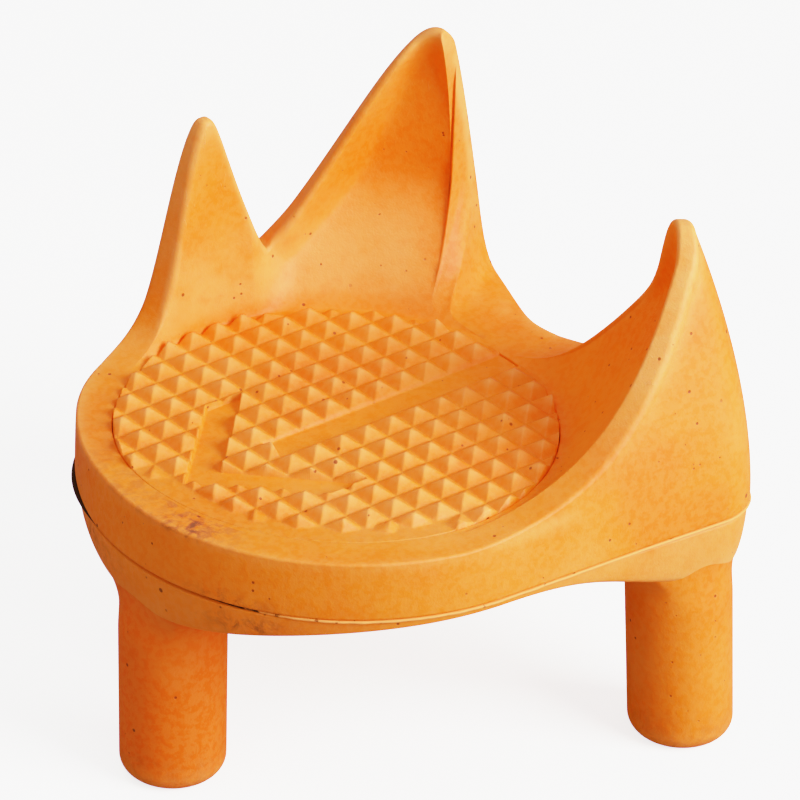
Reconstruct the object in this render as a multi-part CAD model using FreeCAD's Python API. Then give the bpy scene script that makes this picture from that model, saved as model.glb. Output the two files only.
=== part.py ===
import FreeCAD, Part

import math
import os

# A three-legged rubber kicking tee for an oval ball: an upper moulding (the crown, with three horns), a tread
# set in its top, a thin bonding layer, and a lower moulding (the base, with three legs).
# Frame: X runs along the arrow, which points to -X; Y is to the side; Z is up. The shapes are drawn about the
# platform's own axis and then moved along X, so that the origin is on the ground under the middle of the whole
# tee. Millimetres and degrees.

# Overall
platform_height = 50.8       # ground to the platform's flat top
platform_radius = 41.8       # round front of the platform
slab_depth = 9.3             # platform top down to the seam
rim_round = 0.9              # rounding of the platform's top edge

# Rear corners of the outline, one round each rear leg
corner_x = 37.4
corner_y = 34.6
corner_radius = 9.6
corner_top_radius = 2.6      # the corner sharpens to this at the horn tips
rear_waist = 43.4            # the rear wall dips in to this radius in the gap between the two big horns
waist_start = 8.0            # degrees either side of X where the dip ends its flat
waist_end = 30.0             # and where it has run out

# How the outer wall leans in above the seam: inset = lean * (height above the seam) ** lean_power
lean_power = 1.7
side_lean = 0.0176
rear_lean = 0.0108
left_horn_lean = 0.005

# Horns: direction, height above the platform, and the width and sharpness of the two flanks
right_horn = dict(angle=-37.6, height=35.9, skirt=0.08,
                  flank_low=22.5, power_low=1.35, flank_high=14.0, power_high=1.7)
tall_horn = dict(angle=35.5, height=45.2, skirt=0.06,
                 flank_low=4.0, power_low=1.6, flank_high=27.2, power_high=1.5)
left_horn = dict(angle=91.0, height=36.6, skirt=0.13,
                 flank_low=11.9, power_low=1.4, flank_high=8.3, power_high=1.9)
horn_skirt_width = 17.0
horn_tip_width = 1.6         # degrees over which a tip is rounded
crest_min = 1.8              # least thickness of a crest, across
crest_round = 1.5            # rounding of a crest's outer edge, reached from the rim's as the crest rises
crest_round_rise = 0.12      # gain in that rounding per height of the crest
crest_start = 0.35           # a horn's foot shows only where it stands higher than this

# Hollow inner side of the horns
scoop_start = 34.0           # radius where the hollow leaves the platform
scoop_width = 14.4
scoop_height = 30.0
left_scoop_start = 34.6
left_scoop_width = 1.8
left_scoop_height = 36.0
left_zone_start = 62.0       # the hollow changes from the wide one to the left horn's here
left_zone_end = 80.0
left_zone_far = 150.0

# Tread
tread_radius = 34.4
tread_shift = -3.4           # the tread's centre lies this far towards the arrow's tip
front_rim = 6.8              # at the front the tread stops this far inside the platform's edge
tread_depth = 3.2            # depth of its recess
tread_clearance = 0.15
recess_lip = 0.6             # flat left round the recess before the platform may rise
rim_flat = 0.8               # least width of the flat between that and the crest
pyramid_pitch = 4.7625
pyramid_height = 1.7         # pyramids stand on the level of the platform's top
pyramid_x = -0.83            # tip of the pyramid nearest the platform's centre; one row lies on the X axis
arrow_sink = 0.3             # the arrow lies this far under the platform's top
arrow_shaft_x = -15.2        # the shaft, one row wide, ends here, short of the head
arrow_point_x = -31.6        # outer corner of the head
arrow_arm = 15.6             # length of an arm of the head, along X and across it
arrow_arm_width = 6.9        # width of an arm, along X

# Bonding layer
bond_thickness = 0.6
bond_inset = 0.9             # the layer stops this far inside the wall
bond_bulge = 1.7             # and stands out by this much more where the seam has opened
bond_bulge_angle = 148.0
bond_bulge_spread = 17.0

# Base
base_inset = 0.3             # the base's wall lies this far inside the crown's
apron_mid = 0.8              # depth of the apron midway between the legs
apron_front = 8.6            # depth at the front leg
apron_rear = 10.4            # depth at the rear legs
apron_front_spread = 40.0
apron_rear_spread = 23.0
apron_taper = 1.6            # how far the apron's lower edge lies inside its upper edge
apron_lip = 5.0              # from the lower edge in to the underside
underside_depth = 5.0        # below the seam
underside_radius = 14.0      # flat middle of the underside

# Legs
leg_radius = 8.4
leg_draft = 0.15             # the foot is this much slimmer than the top
foot_round = 3.0
front_leg_set = 8.8          # the front leg's axis lies this far inside the platform's edge
front_leg_y = 0.9
rear_leg_back = 0.2          # a rear leg's axis lies this far in front of its corner's centre
rear_leg_out = 2.3           # and this far to the side of it
rear_leg_splay = 3.0         # degrees outward
leg_embed = 2.5              # how far a leg reaches up into the base from the seam

columns = 120                # poles round the outline

seam_z = platform_height - slab_depth
bond_low_z = seam_z - bond_thickness
middle_x = 0.5 * (corner_x + corner_radius - platform_radius)
tread_front_radius = platform_radius - front_rim
front_leg_x = front_leg_set - platform_radius
rear_leg_x = corner_x - rear_leg_back
rear_leg_y = corner_y + rear_leg_out
tallest = max(horn["height"] for horn in (right_horn, tall_horn, left_horn))


def smooth(value, low, high):
    """Return 0 below low and 1 above high, with a smooth step between."""
    share = min(1.0, max(0.0, (value - low) / (high - low)))
    return share * share * (3.0 - 2.0 * share)


def mix(first, second, share):
    """Return the value a share of the way from the first to the second."""
    return first * (1.0 - share) + second * share


def left_share(angle):
    """Return 1 where the left horn stands, and 0 away from it."""
    rise = smooth(angle, left_zone_start, left_zone_end)
    return rise * (1.0 - smooth(angle, left_zone_far, left_zone_far + 20.0))


def hull_radius(angle, front, side_x, side_y, corner):
    """Return how far the hull of a round front and two round rear corners reaches, in a direction."""
    turn = abs(math.radians(angle))
    reach = math.hypot(side_x, side_y)
    bearing = math.atan2(side_y, side_x)
    normal = bearing + math.acos((front - corner) / reach)
    if turn >= normal:
        return front
    along = side_x * math.cos(turn) + side_y * math.sin(turn)
    across = side_x * math.sin(turn) - side_y * math.cos(turn)
    side_line = front / max(math.cos(turn - normal), 0.05)
    rear_line = (side_x + corner) / max(math.cos(turn), 0.05)
    rear_line = mix(min(rear_waist, rear_line), rear_line, smooth(abs(angle), waist_start, waist_end))
    radius = min(side_line, rear_line)
    if abs(across) < corner:
        round_corner = along + math.sqrt(corner * corner - across * across)
        corner_point_x = round_corner * math.cos(turn) - side_x
        corner_point_y = round_corner * math.sin(turn) - side_y
        facing = math.atan2(corner_point_y, corner_point_x)
        if 0.0 <= facing <= normal:
            radius = round_corner
    return radius


def wall_radius(angle, height):
    """Return the outer wall's radius at a height over the seam."""
    rise = max(0.0, height)
    side = mix(side_lean, left_horn_lean, left_share(angle)) * rise ** lean_power
    rear = rear_lean * rise ** lean_power
    top = rise / (tallest + slab_depth)
    corner = mix(corner_radius, corner_top_radius, min(1.0, top))
    return hull_radius(angle, platform_radius - side, corner_x + corner_radius - rear - corner,
                       corner_y + corner_radius - side - corner, corner)


def horn_height(horn, angle):
    """Return a horn's height in a direction: a peak with flanks of its own width and sharpness."""
    away = (angle - horn["angle"] + 180.0) % 360.0 - 180.0
    side = "high" if away > 0.0 else "low"
    rounded = math.hypot(away, horn_tip_width) - horn_tip_width
    peak = math.exp(-(rounded / horn["flank_" + side]) ** horn["power_" + side])
    skirt = math.exp(-(rounded / horn_skirt_width) ** 2)
    return horn["height"] * mix(peak, skirt, horn["skirt"])


def crest_height(angle):
    """Return the crest's height over the platform: that of the tallest horn in this direction."""
    height = max(horn_height(horn, angle) for horn in (right_horn, tall_horn, left_horn))
    return max(0.0, height - crest_start)


def scoop_radius(angle, height):
    """Return the radius of the hollow side of the horns at a height over the platform."""
    wide = min(1.0, height / scoop_height)
    narrow = min(1.0, height / left_scoop_height)
    wide_radius = scoop_start + scoop_width * math.sqrt(1.0 - (1.0 - wide) ** 2)
    narrow_radius = left_scoop_start + left_scoop_width * math.sqrt(1.0 - (1.0 - narrow) ** 2)
    return mix(wide_radius, narrow_radius, left_share(angle))


def tread_edge_radius(angle, margin):
    """Return how far the tread's outline, grown by a margin, reaches from the platform's centre."""
    turn = math.radians(angle)
    across = tread_shift * math.sin(turn)
    shifted = tread_shift * math.cos(turn) + math.sqrt((tread_radius + margin) ** 2 - across ** 2)
    return min(shifted, tread_front_radius + margin)


def crown_profile(angle):
    """Return (radius, height) pairs from the tread's edge over the crest to the seam, in one direction."""
    crest = crest_height(angle)
    start = tread_edge_radius(angle, recess_lip)
    wall = wall_radius(angle, slab_depth + crest)
    inner = min(scoop_radius(angle, crest), wall - crest_min)
    inner = max(inner, start + rim_flat)
    pairs = []
    for step in range(7):
        sweep = math.radians(15.0 * step)
        pairs.append((mix(start, inner, math.sin(sweep)), crest * (1.0 - math.cos(sweep))))
    edge = min(rim_round + crest_round_rise * crest, crest_round, 0.45 * (wall - inner))
    pairs.append((mix(inner, wall - edge, 0.5), crest))
    pairs.append((wall - edge, crest))
    pairs.append((wall - 0.3 * edge, crest - 0.3 * edge))
    low = crest - edge
    for step in range(6):
        height = mix(low, -slab_depth, step / 5.0)
        pairs.append((wall_radius(angle, slab_depth + height), height))
    return pairs


def apron_depth(angle):
    """Return how far the base's lower edge lies below the bonding layer, in one direction."""
    front = math.exp(-((180.0 - abs(angle)) / apron_front_spread) ** 2)
    rear_angle = math.degrees(math.atan2(rear_leg_y, rear_leg_x))
    rear = math.exp(-((abs(angle) - rear_angle) / apron_rear_spread) ** 2)
    return apron_mid + (apron_front - apron_mid) * front + (apron_rear - apron_mid) * rear


def base_profile(angle):
    """Return (radius, height) pairs from the bonding layer down the apron and in under the base."""
    wall = wall_radius(angle, 0.0) - base_inset
    depth = apron_depth(angle)
    taper = apron_taper * depth / apron_rear
    under = -underside_depth
    return [(wall, 0.0), (wall - 0.1 * taper, -0.35 * depth), (wall - 0.5 * taper, -0.75 * depth),
            (wall - taper, -0.95 * depth), (wall - taper - 0.9, -depth), (wall - taper - 2.2, -depth),
            (wall - taper - apron_lip, mix(-depth, under, 0.6)),
            (mix(wall, underside_radius, 0.5), under), (mix(wall, underside_radius, 0.8), under),
            (underside_radius, under)]


def round_surface(profile, top_z):
    """Return a face through rows of poles, closed round Z, from a profile for each direction."""
    rows = []
    for column in range(columns):
        angle = -180.0 + 360.0 * column / columns
        turn = math.radians(angle)
        rows.append([FreeCAD.Vector(radius * math.cos(turn), radius * math.sin(turn), top_z + height)
                     for radius, height in profile(angle)])
    across = len(rows[0])
    surface = Part.BSplineSurface()
    surface.buildFromPolesMultsKnots(
        rows, [1] * (columns + 1), [4] + [1] * (across - 4) + [4],
        list(range(columns + 1)), list(range(across - 2)), True, False, 3, 3)
    return surface.toShape()


def flat_cap(face, height):
    """Return the flat face that closes a round surface at a height."""
    edges = [edge for edge in face.Edges
             if abs(edge.BoundBox.ZMin - height) < 1e-4 and abs(edge.BoundBox.ZMax - height) < 1e-4]
    return Part.Face(Part.Wire(edges))


def closed_solid(face, first_z, last_z):
    """Return the solid between a round surface and the flat faces at its two ends."""
    shell = Part.makeShell([face, flat_cap(face, first_z), flat_cap(face, last_z)])
    shell.sewShape()
    solid = Part.makeSolid(shell)
    if solid.Volume < 0:
        solid.reverse()
    return solid


def prism(points, low_z, high_z):
    """Return the upright prism over a closed outline."""
    corners = [FreeCAD.Vector(x, y, low_z) for x, y in points]
    outline = Part.makePolygon(corners + corners[:1])
    return Part.Face(outline).extrude(FreeCAD.Vector(0, 0, high_z - low_z))


def tread_disc(margin, low_z, high_z):
    """Return the upright disc over the tread's outline, grown by a margin."""
    disc = Part.makeCylinder(tread_radius + margin, high_z - low_z, FreeCAD.Vector(tread_shift, 0, low_z))
    front = Part.makeCylinder(tread_front_radius + margin, high_z - low_z, FreeCAD.Vector(0, 0, low_z))
    return disc.common(front)


def make_crown():
    """The upper moulding: platform, slab wall and horns, with the tread's recess."""
    face = round_surface(crown_profile, platform_height)
    body = closed_solid(face, platform_height, seam_z)
    recess = tread_disc(0.0, platform_height - tread_depth, platform_height + tallest)
    return body.cut(recess)


def groove(position, along_x):
    """Return a V groove between two rows of pyramids, to be cut from the tread."""
    half = pyramid_pitch / 2.0
    tip_z = platform_height + pyramid_height
    reach = 2.0 * tread_radius
    section = [(-half, tip_z), (half, tip_z), (0.0, platform_height)]
    if along_x:
        corners = [FreeCAD.Vector(tread_shift - reach, position + s, z) for s, z in section]
        sweep = FreeCAD.Vector(2.0 * reach, 0, 0)
    else:
        corners = [FreeCAD.Vector(position + s, -reach, z) for s, z in section]
        sweep = FreeCAD.Vector(0, 2.0 * reach, 0)
    return Part.Face(Part.makePolygon(corners + corners[:1])).extrude(sweep)


def arrow_tools():
    """Return the prisms of the plain arrow: a shaft and the two arms of its head."""
    low_z = platform_height - arrow_sink
    high_z = platform_height + pyramid_height + 1.0
    half = pyramid_pitch / 2.0
    tail_x = tread_shift + tread_radius
    shaft = prism([(arrow_shaft_x, -half), (tail_x, -half), (tail_x, half), (arrow_shaft_x, half)], low_z, high_z)
    arms = []
    for side in (-1.0, 1.0):
        arms.append(prism([(arrow_point_x, 0.0),
                           (arrow_point_x + arrow_arm_width, 0.0),
                           (arrow_point_x + arrow_arm + arrow_arm_width, side * arrow_arm),
                           (arrow_point_x + arrow_arm, side * arrow_arm)], low_z, high_z))
    return [shaft] + arms


def make_tread():
    """The round seat: square pyramids in straight rows, with a plain arrow left flat between them."""
    disc = tread_disc(-tread_clearance, platform_height - tread_depth, platform_height + pyramid_height)
    count = int(tread_radius // pyramid_pitch) + 2
    tools = []
    for step in range(-count, count + 1):
        tools.append(groove(pyramid_x + (0.5 + step) * pyramid_pitch, False))
        tools.append(groove((0.5 + step) * pyramid_pitch, True))
    return disc.cut(tools + arrow_tools())


def outline_prism(inset, low_z, high_z):
    """Return the upright prism over the tee's outline at the seam, drawn in by inset(angle)."""
    points = []
    for column in range(columns):
        angle = -180.0 + 360.0 * column / columns
        turn = math.radians(angle)
        radius = wall_radius(angle, 0.0) - inset(angle)
        points.append(FreeCAD.Vector(radius * math.cos(turn), radius * math.sin(turn), low_z))
    curve = Part.BSplineCurve()
    curve.buildFromPolesMultsKnots(points, [1] * (columns + 1), list(range(columns + 1)), True, 3)
    return Part.Face(Part.Wire([curve.toShape()])).extrude(FreeCAD.Vector(0, 0, high_z - low_z))


def bond_edge(angle):
    """Return how far the bonding layer stops inside the wall; it stands out where the seam has opened."""
    return bond_inset - bond_bulge * math.exp(-((angle - bond_bulge_angle) / bond_bulge_spread) ** 2)


def make_bond_layer():
    """The thin layer between the mouldings."""
    return outline_prism(bond_edge, bond_low_z, seam_z)


def make_leg(foot_x, foot_y, splay):
    """Return a round leg with a rounded foot, splayed outward and cut level at the ground."""
    top = bond_low_z - leg_embed
    length = top / math.cos(math.radians(splay))
    extra = leg_radius * math.tan(math.radians(splay))
    foot = leg_radius - leg_draft
    low = -extra
    centre = FreeCAD.Vector(foot - foot_round, 0, low + foot_round)
    middle = centre + FreeCAD.Vector(math.sin(math.pi / 4.0), 0, -math.cos(math.pi / 4.0)) * foot_round
    corners = [FreeCAD.Vector(0, 0, low), FreeCAD.Vector(foot - foot_round, 0, low),
               FreeCAD.Vector(foot, 0, low + foot_round), FreeCAD.Vector(leg_radius, 0, length),
               FreeCAD.Vector(0, 0, length)]
    outline = Part.Wire([Part.makeLine(corners[0], corners[1]),
                         Part.Arc(corners[1], middle, corners[2]).toShape(),
                         Part.makeLine(corners[2], corners[3]),
                         Part.makeLine(corners[3], corners[4]),
                         Part.makeLine(corners[4], corners[0])])
    leg = Part.Face(outline).revolve(FreeCAD.Vector(0, 0, 0), FreeCAD.Vector(0, 0, 1), 360)
    if splay:
        out = math.atan2(foot_y, foot_x)
        leg.rotate(FreeCAD.Vector(0, 0, 0), FreeCAD.Vector(math.sin(out), -math.cos(out), 0), splay)
    leg.translate(FreeCAD.Vector(foot_x, foot_y, 0))
    reach = 4.0 * leg_radius
    below = Part.makeBox(2 * reach, 2 * reach, reach, FreeCAD.Vector(foot_x - reach, foot_y - reach, -reach))
    return leg.cut(below)


def make_base():
    """The lower moulding: an arched apron and underside, with one front leg and two splayed rear legs."""
    face = round_surface(base_profile, bond_low_z)
    body = closed_solid(face, bond_low_z, bond_low_z - underside_depth)
    legs = [make_leg(front_leg_x, front_leg_y, 0.0)]
    for side in (-1.0, 1.0):
        legs.append(make_leg(rear_leg_x, side * rear_leg_y, rear_leg_splay))
    return body.fuse(legs)


def main():
    os.makedirs("parts", exist_ok=True)
    nodes = {"crown": make_crown(), "tread": make_tread(), "bond_layer": make_bond_layer(), "base": make_base()}
    for name, shape in nodes.items():
        shape.translate(FreeCAD.Vector(-middle_x, 0, 0))
        shape.exportStep("parts/" + name + ".step")
        print(name, len(shape.Solids), "solid", "valid" if shape.isValid() else "not valid")


main()
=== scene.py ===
import math

import bmesh
import bpy
import numpy as np
from bpy.props import FloatProperty, FloatVectorProperty, IntProperty, PointerProperty
from mathutils import Matrix, Vector


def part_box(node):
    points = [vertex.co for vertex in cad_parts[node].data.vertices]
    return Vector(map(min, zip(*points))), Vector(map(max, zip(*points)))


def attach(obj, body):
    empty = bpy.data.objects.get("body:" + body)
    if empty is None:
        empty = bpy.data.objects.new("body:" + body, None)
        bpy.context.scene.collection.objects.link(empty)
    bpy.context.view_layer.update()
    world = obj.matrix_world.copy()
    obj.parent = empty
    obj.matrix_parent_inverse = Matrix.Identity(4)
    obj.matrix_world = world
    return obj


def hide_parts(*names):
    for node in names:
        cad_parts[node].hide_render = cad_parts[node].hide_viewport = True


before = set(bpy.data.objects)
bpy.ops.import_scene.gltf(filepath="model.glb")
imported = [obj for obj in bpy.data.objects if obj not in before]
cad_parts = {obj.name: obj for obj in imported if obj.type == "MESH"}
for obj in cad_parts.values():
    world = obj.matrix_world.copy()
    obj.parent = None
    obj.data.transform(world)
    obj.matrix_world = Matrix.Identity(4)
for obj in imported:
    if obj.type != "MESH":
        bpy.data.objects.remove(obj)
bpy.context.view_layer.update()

bl_info = {
    "name": "Kicking tee",
    "version": (1, 0, 0),
    "blender": (4, 5, 0),
    "location": "View3D > Sidebar > Kicking Tee",
    "description": "Builds a moulded rubber kicking tee around its packed frame",
    "category": "Add Mesh",
}

# Heights in the frame, in metres
SEAM_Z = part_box("crown")[0].z
BOND_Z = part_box("bond_layer")[0].z
RECESS_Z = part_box("tread")[0].z
TIP_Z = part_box("tread")[1].z
MM = 0.001

# Directions, in degrees, where one shape hands over to the next
WAIST_ZONE = (8.0, 30.0)                # the rear's waist ends its flat, and has run out
LEFT_ZONE = (65.0, 79.0, 150.0, 170.0)  # the left horn's hollow and lean fade in, and out
EASED_ZONE = (12.0, 24.0, 31.5, 35.0)   # the inner edge of the tall horn's steep side is rounded wide
# Directions where the foot of the tall and left horns' hollow is painted paler, as painted light: rise, full, fall,
# end
PAINTED_LIGHT_ZONE = (28.0, 44.0, 104.0, 118.0)
OPEN_ZONE = (108.0, 126.0, 192.0, 232.0)  # the seam opens, and closes again
FLUSH_MIDDLE, FLUSH_START, FLUSH_END = -146.0, 54.0, 32.0  # the tread runs out into the platform
SKIRT_WIDTH, TIP_WIDTH = 17.0, 1.6      # a horn's foot, and the rounding of its tip

# Other fixed sizes, in metres and plain numbers
CREST_STEP = 0.35 * MM      # a horn's foot shows only where it stands higher than this
RECESS_EDGE = 0.16 * MM     # rounding of the recess's edge
SEAM_EDGE = 0.3 * MM        # rounding of the crown's edge at the seam
SEAM_REACH = 4.0 * MM       # width of the faces that meet in the seam
LEAN_HEIGHT, LEAN_POWER = 0.05, 1.7
OUTER_ROUND, INNER_ROUND = 0.55, 0.40    # the crest's roundings, as shares of its thickness
EASED_ROUND, EASED_TURN = 5.0 * MM, 5.0  # the wide rounding, and the turn in which it follows the crest down
DROP_LIMIT, STEEP_LIMIT = 0.45, 6.0      # a rounding's deepest drop as a share of the crest, and steepest slope
CREST_REACH = 0.044                      # radius at which a turn along the crest becomes a length
HOLLOW_SPACING = 1.8                     # packs the rows towards the hollow's foot
TALL_DRAW = 2.2 * MM                     # the hollow reaches this much less far at the tall horn

# Mesh steps and seeds
HOLLOW_ROWS, WALL_ROWS, BASE_ROWS = 52, 44, 96
SEAM_COLUMNS, LEG_COLUMNS, NECK_ROWS = 1440, 144, 60
HALVINGS = 26
WEAR_SEED, FLASH_SEED = 11, 5

# Studio: each light's size, its direction round the tee and over the floor in degrees, distance and tint
LIGHT_MIDDLE = (0.0, 0.0, 0.05)
LIGHTS = {"key": (0.65, -66.0, 29.0, 1.0, (1.0, 0.98, 0.95)),
          "top": (0.9, 150.0, 78.0, 1.1, (1.0, 1.0, 1.0)),
          "fill": (0.9, -170.0, 30.0, 1.2, (0.97, 0.98, 1.0))}
FLOOR_REACH = 6.0
SENSOR_WIDTH = 36.0
FILM_TOP, FILM_KNEE, FILM_POWER = 0.945, 0.50, 1.3
CURVE_END = 3.0


# ---- settings

def length(label, about, value):
    """Return a property that holds a length in metres."""
    return FloatProperty(name=label, description=about, default=value, unit="LENGTH", precision=5)


def number(label, about, value):
    """Return a property that holds a plain number."""
    return FloatProperty(name=label, description=about, default=value)


def colour(label, about, value):
    """Return a property that holds a linear colour."""
    return FloatVectorProperty(name=label, description=about, default=value, size=3, subtype="COLOR",
                               min=0.0, max=1.0)


def horn_settings(title, angle, height, skirt, low, low_power, high, high_power, width):
    """Return the property group of one horn: its place, height, thickness and the run of its two flanks."""
    fields = {
        "angle": number("Angle", "Direction of the tip from the platform's middle, in degrees", angle),
        "height": length("Height", "Tip over the platform", height),
        "skirt": number("Skirt", "Share of the height that is in the wide foot", skirt),
        "low": number("Low flank", "Width of the flank on the side of smaller angles, in degrees", low),
        "low_power": number("Low flank power", "Sharpness of that flank", low_power),
        "high": number("High flank", "Width of the flank on the side of larger angles, in degrees", high),
        "high_power": number("High flank power", "Sharpness of that flank", high_power),
        "width": length("Thickness", "Least thickness of the crest", width),
    }
    return type(title, (bpy.types.PropertyGroup,), {"__annotations__": fields})


TeeRightHorn = horn_settings("TeeRightHorn", -37.6, 0.0359, 0.08, 20.9, 1.35, 13.6, 1.5, 0.0019)
TeeTallHorn = horn_settings("TeeTallHorn", 35.5, 0.0452, 0.035, 3.5, 1.9, 27.5, 1.6, 0.0024)
TeeTallHorn.__annotations__["bend"] = length("Bend", "The hollow bends out this far to the steep side", 0.0018)
TeeTallHorn.__annotations__["bend_width"] = number("Bend width", "Turn over which it bends, in degrees", 9.0)
TeeLeftHorn = horn_settings("TeeLeftHorn", 91.0, 0.0366, 0.13, 12.8, 1.4, 8.3, 1.9, 0.0026)


class TeeBody(bpy.types.PropertyGroup):
    """Sizes of the two mouldings."""
    middle_x: length("Middle", "The platform's axis lies this far behind the origin", 0.0026)
    platform: length("Platform", "Height of the platform's flat top", 0.0508)
    platform_radius: length("Platform radius", "Round front of the platform", 0.0418)
    rim_round: length("Rim rounding", "Rounding of the platform's top edge", 0.0005)
    corner_x: length("Corner X", "Centre of a rear corner, along", 0.0374)
    corner_y: length("Corner Y", "Centre of a rear corner, across", 0.0346)
    corner_radius: length("Corner radius", "Rear corner at the seam", 0.0096)
    corner_top: length("Corner top radius", "Rear corner at the height of the tallest tip", 0.0026)
    rear_waist: length("Rear waist", "Radius of the rear wall between the two big horns", 0.0434)
    side_lean: length("Side lean", "How far the side wall has leaned in, 50 mm over the seam", 0.0136)
    rear_lean: length("Rear lean", "How far the rear wall has leaned in, 50 mm over the seam", 0.00835)
    left_lean: length("Left horn lean", "The same at the left horn", 0.00387)
    scoop_start: length("Hollow start", "Flat between the tread and the foot of the big horns' hollow", 0.0008)
    scoop_slope: number("Hollow slope", "Run per height of the hollow's slope", 0.45)
    scoop_reach: length("Hollow reach", "Radius at which the hollow stands upright", 0.0487)
    scoop_sweep: length("Hollow sweep", "Size of the sweep at the foot of the hollow", 0.00225)
    left_scoop_start: length("Left hollow start", "The same for the left horn", 0.0346)
    left_scoop_width: length("Left hollow width", "Run of the hollow of the left horn", 0.0018)
    left_scoop_height: length("Left hollow height", "Height at which it stands upright", 0.036)
    waist_dip: length("Waist dip", "Further dip of the rear, beside the tall horn", 0.0016)
    left_swell: length("Left swell", "Swelling of the wall behind the seam's opening", 0.0008)
    right_swell: length("Right swell", "Swelling of the wall over the right leg", 0.0006)
    base_inset: length("Base inset", "The base's wall lies this far inside the crown's", 0.0003)
    apron_mid: length("Apron middle", "Depth of the apron between the legs", 0.0008)
    apron_front: length("Apron front", "Depth of the apron at the front leg", 0.0086)
    apron_rear: length("Apron rear", "Depth of the apron at the rear legs", 0.0104)
    apron_taper: length("Apron taper", "How far the apron's lower edge lies inside its upper edge", 0.0016)
    underside_depth: length("Underside", "Flat underside below the bonding layer", 0.005)
    crown_columns: IntProperty(name="Crown columns", description="Steps round the crown", default=640)
    base_columns: IntProperty(name="Base columns", description="Steps round the base", default=560)


class TeeTread(bpy.types.PropertyGroup):
    """Sizes of the tread and its arrow."""
    radius: length("Radius", "Radius of the tread", 0.0344)
    shift: length("Shift", "The tread's centre, along", -0.0034)
    left_swell: length("Left swell", "The tread reaches this much further at the front left", 0.0016)
    front_radius: length("Front radius", "At the front the tread stops at this radius about the platform", 0.035)
    gap: length("Gap", "Gap round the tread", 0.00012)
    pitch: length("Pitch", "Distance between rows of pyramids", 0.0047625)
    tip_x: length("Row place", "Tip of the pyramid nearest the platform's middle, along", -0.00083)
    sink: length("Arrow sink", "The arrow lies this far under the platform", 0.0003)
    shaft_x: length("Shaft end", "End of the arrow's shaft", -0.0152)
    point_x: length("Point", "Outer corner of the arrow's head", -0.0316)
    arm: length("Arm", "Length of an arm of the head, along", 0.0156)
    arm_width: length("Arm width", "Width of an arm of the head, along", 0.0069)
    cells: IntProperty(name="Cells", description="Mesh cells across one pyramid", default=24)


class TeeLegs(bpy.types.PropertyGroup):
    """Sizes of the legs."""
    radius: length("Radius", "Radius of a leg under the base", 0.0084)
    draft: length("Draft", "The foot is this much slimmer", 0.00015)
    foot_round: length("Foot rounding", "Rounding of the foot's edge", 0.003)
    front_x: length("Front leg X", "Front leg's foot, along", -0.033)
    front_y: length("Front leg Y", "Front leg's foot, across", 0.0009)
    rear_x: length("Rear leg X", "Rear legs' feet, along", 0.0372)
    rear_y: length("Rear leg Y", "Rear legs' feet, across", 0.0369)
    splay: number("Splay", "Outward lean of the rear legs, in degrees", 3.0)
    flare: length("Flare", "How far a leg spreads where it runs into the base", 0.005)
    flare_low: length("Flare start", "Height at which a leg starts to spread", 0.0255)


class TeeColours(bpy.types.PropertyGroup):
    """Colours of the rubber, as linear values."""
    fresh: colour("Rubber", "The rubber's own colour", (0.92, 0.245, 0.016))
    # Also the paler colour of painted light and painted highlight, through the wear mask.
    faded: colour("Faded", "Rubber bleached by sun and wear", (0.94, 0.40, 0.085))
    # Also the colour of the painted shade on the legs.
    deep: colour("Deep", "Rubber in patches that kept their oil", (0.88, 0.165, 0.009))
    speck: colour("Speck", "Dark specks and pits", (0.16, 0.045, 0.008))
    grime: colour("Grime", "Ground-in dirt", (0.075, 0.055, 0.030))
    scuff: colour("Scuff", "Raised fibres where the skin is scuffed", (0.94, 0.50, 0.14))
    bond: colour("Bond", "Old adhesive in the seam", (0.030, 0.008, 0.010))


class TeeStudio(bpy.types.PropertyGroup):
    """The camera and the lights."""
    lens: FloatProperty(name="Lens", description="Focal length in millimetres", default=270.0)
    camera: FloatVectorProperty(name="Camera", description="Place of the camera", size=3, unit="LENGTH",
                                default=(-0.485138, -0.616129, 0.52295))
    target: FloatVectorProperty(name="Target", description="Point that the camera faces", size=3,
                                unit="LENGTH", default=(0.007043, 0.000417, 0.0508))
    roll: number("Roll", "Roll of the camera, in degrees", 1.33)
    key_power: number("Key", "Power of the key light, in watts", 12.0)
    top_power: number("Top", "Power of the overhead light, in watts", 2.4)
    fill_power: number("Fill", "Power of the fill light, in watts", 0.5)
    paper: number("Paper", "Extra brightness of the floor to the camera", 0.8)
    sky: number("Sky", "Strength of the surrounding light", 0.30)


# ---- arithmetic

def smooth(value, low, high):
    """Smooth step: 3s^2 - 2s^3 of the share s of the way from low to high."""
    share = np.clip((value - low) / (high - low), 0.0, 1.0)
    return share * share * (3.0 - 2.0 * share)


def mix(first, second, share):
    """Straight mix: first (1 - share) + second share."""
    return first * (1.0 - share) + second * share


def soft_min(first, second, width):
    """Rounded minimum: half of the sum less the root of the difference squared plus width squared."""
    return 0.5 * (first + second - np.sqrt((first - second) ** 2 + width ** 2))


def soft_max(first, second, width):
    """Rounded maximum: the same with the root added."""
    return 0.5 * (first + second + np.sqrt((first - second) ** 2 + width ** 2))


def bell(value, middle, spread):
    """Bell curve: exp of minus the square of the distance over the spread."""
    return np.exp(-((value - middle) / spread) ** 2)


def turned(angle, middle):
    """Signed difference of two directions, in degrees, between -180 and 180."""
    return (angle - middle + 180.0) % 360.0 - 180.0


def direction(x, y):
    """Direction of a point from the axis: the arc tangent of y over x, in degrees."""
    return np.degrees(np.arctan2(y, x))


def ripple(x, y, z, wave, seed):
    """Gentle unevenness: a sum of eight sine waves of about one length in random directions, in -1..1."""
    draw = np.random.default_rng(seed)
    total = 0.0
    for _ in range(8):
        way = draw.normal(size=3)
        way *= 2.0 * math.pi / (wave * np.linalg.norm(way)) * draw.uniform(0.6, 1.5)
        total = total + np.sin(way[0] * x + way[1] * y + way[2] * z + draw.uniform(0.0, 2.0 * math.pi))
    return total / 4.0


# ---- the tee's shape

def tallest(tee):
    """Height of the tallest tip over the platform."""
    return max(tee.right.height, tee.tall.height, tee.left.height)


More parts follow.
